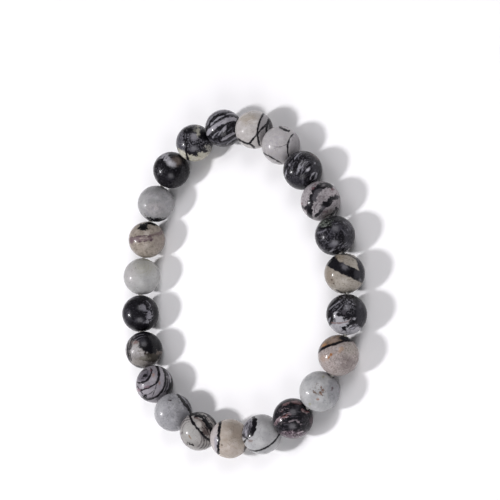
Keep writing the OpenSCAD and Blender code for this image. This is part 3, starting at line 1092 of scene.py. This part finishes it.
def makeCord(shape):
    route = []
    for bead, after in zip(beads, beads[1:] + beads[:1]):
        apart = after["centre"] - bead["centre"]
        start = bead["centre"] + bead["along"] * shape["straight"]
        end = after["centre"] - after["along"] * shape["straight"]
        halfTurn = bead["along"].angle(after["along"]) / 2
        outward = zAxis.cross(apart.normalized())
        corner = (bead["centre"] + after["centre"]) / 2 + outward * apart.length / 2 * math.tan(halfTurn)
        for step in range(shape["bendSteps"] + 1):
            t = step / shape["bendSteps"]
            route.append(start * (1 - t) ** 2 + corner * 2 * t * (1 - t) + end * t ** 2)
    bm = bmesh.new()
    loops = []
    for before, at, after in zip(route[-1:] + route[:-1], route, route[1:] + route[:1]):
        onward = (after - before).normalized()
        turn = Matrix((zAxis, onward.cross(zAxis), onward)).transposed().to_4x4()
        ring = bmesh.ops.create_circle(bm, cap_ends=False, segments=shape["sides"], radius=shape["radius"],
                                       matrix=Matrix.Translation(at) @ turn)
        loops.append(ring["verts"])
    for pair in zip(loops, loops[1:] + loops[:1]):
        edges = [edge for edge in bm.edges if any(all(v in ring for v in edge.verts) for ring in pair)]
        bmesh.ops.bridge_loops(bm, edges=edges)
    smoothFaces(bm)
    return newObject("stretch_cord", newMesh("stretch_cord", bm))


def cordMaterial(shape):
    material, tree, coordinates = newMaterial("clear_elastic")
    milk = smoothStep(tree, noise(tree, coordinates, shape["milkScale"]), *shape["milk"])
    grip = put(tree, "ShaderNodeBump", {
        "Height": noise(tree, coordinates, shape["gripScale"]),
        "Strength": shape["gripStrength"], "Distance": shape["gripDepth"],
    })
    closeMaterial(tree, {
        "Base Color": mixColour(tree, milk, *(linear(code) for code in shape["colours"])),
        "Roughness": shape["roughness"], "IOR": shape["index"], "Transmission Weight": shape["clear"],
        "Normal": grip.outputs[0],
    })
    return material


cord = makeCord(cordShape)
cord.data.materials.append(cordMaterial(cordShape))
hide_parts("elastic_cord")
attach(cord, "root")
print("cord ready")


# a plain white table, far larger than the view, in metres
floorSettings = {"half": 3.0, "colours": ("#f3f3f3", "#f1f1f1"), "fleckScale": 30.0, "roughness": 0.6}


def makeFloor(settings):
    bm = bmesh.new()
    bmesh.ops.create_grid(bm, x_segments=1, y_segments=1, size=settings["half"])
    floor = newObject("floor", newMesh("floor", bm))
    material, tree, coordinates = newMaterial("table")
    flecks = noise(tree, coordinates, settings["fleckScale"])
    shade = mixColour(tree, flecks, *(linear(code) for code in settings["colours"]))
    closeMaterial(tree, {"Base Color": shade, "Roughness": settings["roughness"]})
    floor.data.materials.append(material)


makeFloor(floorSettings)


# soft studio light: a small key from the picture's left, a wide box from two other sides, and a dim room
lightSettings = {
    "lamps": {
        "key": {"towards": (-0.645, -0.065, 0.761), "size": 0.13, "watts": 5.9, "shape": "DISK"},
        "upperBox": {"towards": (0.589, 0.407, 0.699), "size": 0.66, "watts": 7.2, "shape": "SQUARE"},
        "lowerBox": {"towards": (0.215, -0.808, 0.548), "size": 0.66, "watts": 7.2, "shape": "SQUARE"},
    },
    "distance": 0.9,            # metres
    "tint": (1.0, 0.985, 1.015),
    "fade": (0.5, 0.20),        # where a box is dark and where it is full, in sides from its middle
    "squareness": 4.0,          # of a box: 2 is round
    "room": {"Color": (0.97, 0.95, 1.0, 1.0), "Strength": 0.17},
}


# a soft box is a rounded square, dimmer towards its edge, so that its reflection on a stone has no outline
def fadeEdge(lamp, fade, squareness):
    lamp.use_nodes = True
    tree = lamp.node_tree
    place = put(tree, "ShaderNodeNewGeometry").outputs["Parametric"]
    away = vectors(tree, "ABSOLUTE", vectors(tree, "SUBTRACT", place, (0.5, 0.5, 0)))
    sides = put(tree, "ShaderNodeSeparateXYZ", {0: away}).outputs
    powers = [maths(tree, "POWER", side, squareness) for side in sides[:2]]
    reach = maths(tree, "POWER", maths(tree, "ADD", *powers), 1 / squareness)
    tree.links.new(smoothStep(tree, reach, *fade), tree.nodes["Emission"].inputs["Strength"])


def makeLights(settings):
    for name, own in settings["lamps"].items():
        lamp = bpy.data.lights.new(name, "AREA")
        lamp.shape, lamp.size, lamp.energy = own["shape"], own["size"], own["watts"]
        lamp.color = settings["tint"]
        if own["shape"] == "SQUARE":
            fadeEdge(lamp, settings["fade"], settings["squareness"])
        light = newObject(name, lamp)
        towards = Vector(own["towards"]).normalized()
        light.location = towards * settings["distance"]
        light.rotation_euler = facing(towards).to_euler()
    scene.world = bpy.data.worlds.new("room")
    scene.world.use_nodes = True
    for title, value in settings["room"].items():
        scene.world.node_tree.nodes["Background"].inputs[title].default_value = value
    scene.view_settings.view_transform = "Standard"


makeLights(lightSettings)
print("floor and lights ready")
